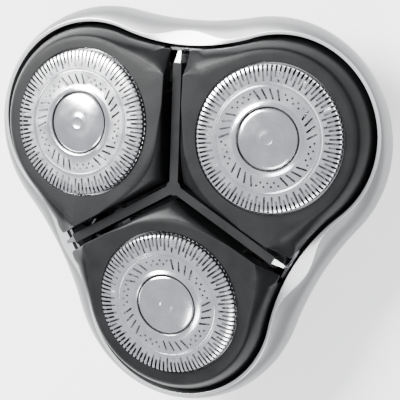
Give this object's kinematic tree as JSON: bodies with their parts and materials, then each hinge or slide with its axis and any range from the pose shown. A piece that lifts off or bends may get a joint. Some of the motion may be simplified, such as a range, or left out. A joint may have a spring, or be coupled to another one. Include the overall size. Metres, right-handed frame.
{
  "type": "rotary shaving unit",
  "caption": "Detachable rotary shaving unit: a lobed housing on a coupling collar, with pivoting dishes that hold slotted guards over spinning cutters.",
  "frame": {"origin": "centre of the neck socket at the collar's lower face", "axes": "+Z out of the socket's floor towards the guards, +X to the right and +Y towards the gap between the left and right dishes"},
  "size_m": [0.0664, 0.0627, 0.0225],
  "materials": {
    "housing": "satin silver lacquer on moulded plastic",
    "collar": "moulded black, fine texture",
    "spring_steel": "drawn wire",
    "bush": "sintered bronze",
    "seal": "matt",
    "gear": "natural acetal",
    "cover": "moulded grey",
    "screw": "zinc plated",
    "washer": "flat stamped",
    "frame": "moulded dark grey",
    "clip": "stamped spring strip",
    "pin": "ground",
    "dish": "semi-gloss black with a fine spark-eroded texture",
    "retainer": "moulded light grey",
    "guard": "polished stainless steel",
    "badge": "mirror polished with a turned pattern",
    "cutter": "ground stainless blades",
    "carrier": "natural nylon",
    "spindle": "natural acetal"
  },
  "bodies": {
    "housing": {"housing_bowl": "housing", "coupling_collar": "collar", "latch_ring": "spring_steel", "drive_bush": "bush", "drive_seal": "seal", "gear_cover": "cover", "cover_screws": "screw", "gear_washers": "washer", "gear_pin_left": "pin", "gear_pin_right": "pin", "gear_pin_lower": "pin"},
    "drive_gear": {"drive_gear": "gear"},
    "lift_off_frame": {"carrier_frame": "frame", "frame_clips": "clip", "pivot_pins": "pin"},
    "dish_left": {"dish_left": "dish", "retaining_ring_left": "retainer"},
    "guard_left": {"guard_left": "guard", "badge_left": "badge"},
    "cutter_left": {"cutter_ring_left": "cutter", "cutter_carrier_left": "carrier", "spindle_left": "spindle"},
    "gear_left": {"driven_gear_left": "gear", "coil_spring_left": "spring_steel"},
    "dish_right": {"dish_right": "dish", "retaining_ring_right": "retainer"},
    "guard_right": {"guard_right": "guard", "badge_right": "badge"},
    "cutter_right": {"cutter_ring_right": "cutter", "cutter_carrier_right": "carrier", "spindle_right": "spindle"},
    "gear_right": {"driven_gear_right": "gear", "coil_spring_right": "spring_steel"},
    "dish_lower": {"dish_lower": "dish", "retaining_ring_lower": "retainer"},
    "guard_lower": {"guard_lower": "guard", "badge_lower": "badge"},
    "cutter_lower": {"cutter_ring_lower": "cutter", "cutter_carrier_lower": "carrier", "spindle_lower": "spindle"},
    "gear_lower": {"driven_gear_lower": "gear", "coil_spring_lower": "spring_steel"}
  },
  "joints": [
    {"name": "frame_lift", "type": "slide", "parent": "housing", "child": "lift_off_frame", "axis": [0, 0, 1], "range_m": [0, 0.04]},
    {"name": "drive_spin", "type": "hinge", "parent": "housing", "child": "drive_gear", "pos_m": [0, 0, 0.008], "axis": [0, 0, 1], "continuous": true},
    {"name": "dish_pivot_left", "type": "hinge", "parent": "lift_off_frame", "child": "dish_left", "pos_m": [-0.00831, 0.0048, 0.0155], "axis": [-0.5, -0.866, 0], "range_deg": [-4, 6], "stiffness_Nm_per_rad": 0.06, "deforming": ["coil_spring_left"]},
    {"name": "guard_press_left", "type": "slide", "parent": "dish_left", "child": "guard_left", "axis": [0.113, -0.0653, -0.9914], "range_m": [0, 0.0012], "stiffness_N_per_m": 700, "deforming": ["coil_spring_left"]},
    {"name": "cutter_spin_left", "type": "hinge", "parent": "guard_left", "child": "cutter_left", "pos_m": [-0.01602, 0.00925, 0.021], "axis": [-0.113, 0.0653, 0.9914], "continuous": true},
    {"name": "gear_spin_left", "type": "hinge", "parent": "housing", "child": "gear_left", "pos_m": [-0.01507, 0.0087, 0.008], "axis": [0, 0, 1], "continuous": true},
    {"name": "dish_pivot_right", "type": "hinge", "parent": "lift_off_frame", "child": "dish_right", "pos_m": [0.00831, 0.0048, 0.0155], "axis": [-0.5, 0.866, 0], "range_deg": [-4, 6], "stiffness_Nm_per_rad": 0.06, "deforming": ["coil_spring_right"]},
    {"name": "guard_press_right", "type": "slide", "parent": "dish_right", "child": "guard_right", "axis": [-0.113, -0.0653, -0.9914], "range_m": [0, 0.0012], "stiffness_N_per_m": 700, "deforming": ["coil_spring_right"]},
    {"name": "cutter_spin_right", "type": "hinge", "parent": "guard_right", "child": "cutter_right", "pos_m": [0.01602, 0.00925, 0.021], "axis": [0.113, 0.0653, 0.9914], "continuous": true},
    {"name": "gear_spin_right", "type": "hinge", "parent": "housing", "child": "gear_right", "pos_m": [0.01507, 0.0087, 0.008], "axis": [0, 0, 1], "continuous": true},
    {"name": "dish_pivot_lower", "type": "hinge", "parent": "lift_off_frame", "child": "dish_lower", "pos_m": [0, -0.0096, 0.0155], "axis": [1, 0, 0], "range_deg": [-4, 6], "stiffness_Nm_per_rad": 0.06, "deforming": ["coil_spring_lower"]},
    {"name": "guard_press_lower", "type": "slide", "parent": "dish_lower", "child": "guard_lower", "axis": [0, 0.1305, -0.9914], "range_m": [0, 0.0012], "stiffness_N_per_m": 700, "deforming": ["coil_spring_lower"]},
    {"name": "cutter_spin_lower", "type": "hinge", "parent": "guard_lower", "child": "cutter_lower", "pos_m": [0, -0.0185, 0.021], "axis": [0, -0.1305, 0.9914], "continuous": true},
    {"name": "gear_spin_lower", "type": "hinge", "parent": "housing", "child": "gear_lower", "pos_m": [0, -0.0174, 0.008], "axis": [0, 0, 1], "continuous": true}
  ],
  "couplings": [
    {"joint": "cutter_spin_left", "follows": "drive_spin", "ratio": -1.0714},
    {"joint": "gear_spin_left", "follows": "drive_spin", "ratio": -1.0714},
    {"joint": "cutter_spin_right", "follows": "drive_spin", "ratio": -1.0714},
    {"joint": "gear_spin_right", "follows": "drive_spin", "ratio": -1.0714},
    {"joint": "cutter_spin_lower", "follows": "drive_spin", "ratio": -1.0714},
    {"joint": "gear_spin_lower", "follows": "drive_spin", "ratio": -1.0714}
  ]
}
